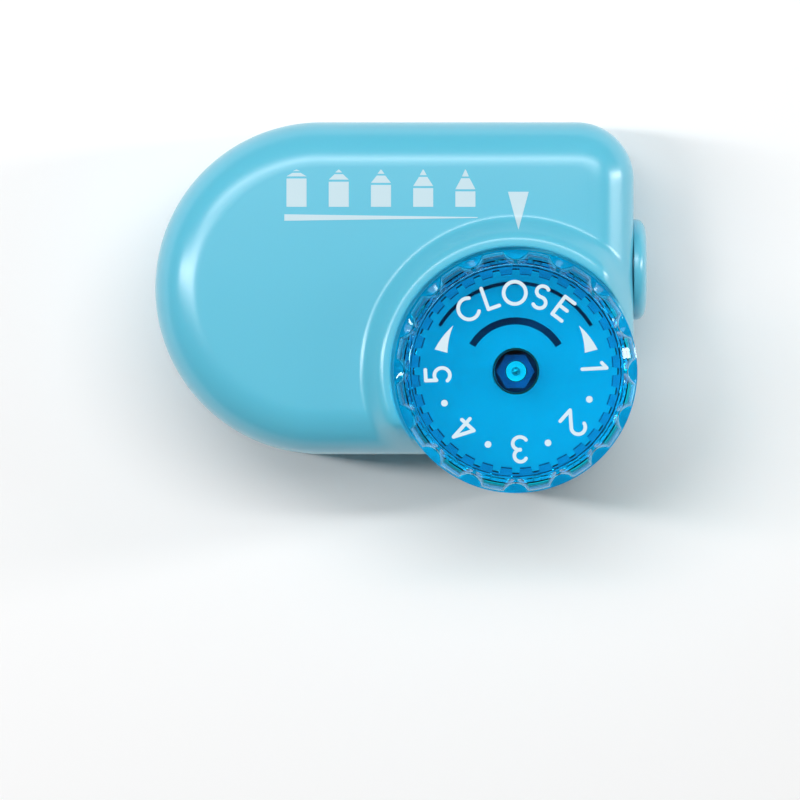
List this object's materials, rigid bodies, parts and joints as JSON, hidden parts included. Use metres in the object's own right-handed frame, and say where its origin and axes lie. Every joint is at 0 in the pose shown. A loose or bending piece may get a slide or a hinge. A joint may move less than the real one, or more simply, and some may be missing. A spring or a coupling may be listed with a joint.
{
  "type": "pencil sharpener",
  "caption": "Pocket pencil sharpener: D-shaped blue casing with a side inlet, rear shavings door and a see-through dial that sets how pointed the pencil becomes.",
  "frame": {"origin": "middle of the overall width and height, on the flat back face that the object lies on", "axes": "+X towards the pencil inlet, +Y towards the straight edge opposite the dial, +Z out of the front, along the dial's axis"},
  "size_m": [0.069, 0.052, 0.031],
  "materials": {
    "casing": "glossy sky-blue moulded styrene",
    "dial": "clear tinted blue moulded acrylic",
    "cam": "plain moulded acetal",
    "guide": "plain moulded acetal",
    "carrier": "glass-filled nylon, slightly grainy",
    "blade": "ground carbon steel",
    "steel": "zinc-plated steel",
    "print": "white pad print"
  },
  "bodies": {
    "casing": {"front_shell": "casing", "rear_shell": "casing", "inlet_collar": "casing", "guide_block": "guide", "guide_screws": "steel", "carrier_pivot_pin": "steel", "shutter_pin": "steel", "door_hinge_pin": "steel", "case_screws": "steel"},
    "dial": {"dial_cap": "dial", "cam_disc": "cam", "dial_washer": "steel", "dial_screw": "steel"},
    "carrier": {"blade_carrier": "carrier", "blade": "blade", "blade_screw": "steel", "follower_pin": "steel"},
    "shutter": {"inlet_shutter": "guide", "shutter_spring": "steel"},
    "door": {"shavings_door": "casing"}
  },
  "joints": [
    {"name": "dial_turn", "type": "hinge", "parent": "casing", "child": "dial", "pos_m": [0.016, -0.009, 0.0236], "axis": [0, 0, 1], "range_deg": [0, 270]},
    {"name": "carrier_swing", "type": "hinge", "parent": "casing", "child": "carrier", "pos_m": [0.0116, -0.0006, 0.008], "axis": [0, 0, 1], "range_deg": [0, 11.1]},
    {"name": "shutter_swing", "type": "hinge", "parent": "casing", "child": "shutter", "pos_m": [0.0282, 0.0122, 0.0118], "axis": [0, 0, -1], "range_deg": [0, 84], "stiffness_Nm_per_rad": 0.0003, "springref_deg": -20.05, "deforming": ["shutter_spring"]},
    {"name": "door_swing", "type": "hinge", "parent": "casing", "child": "door", "pos_m": [-0.002, 0.0027, 0.0017], "axis": [0, -1, 0], "range_deg": [0, 90]}
  ],
  "couplings": [
    {"joint": "carrier_swing", "follows": "dial_turn", "ratio": 0.041111}
  ]
}
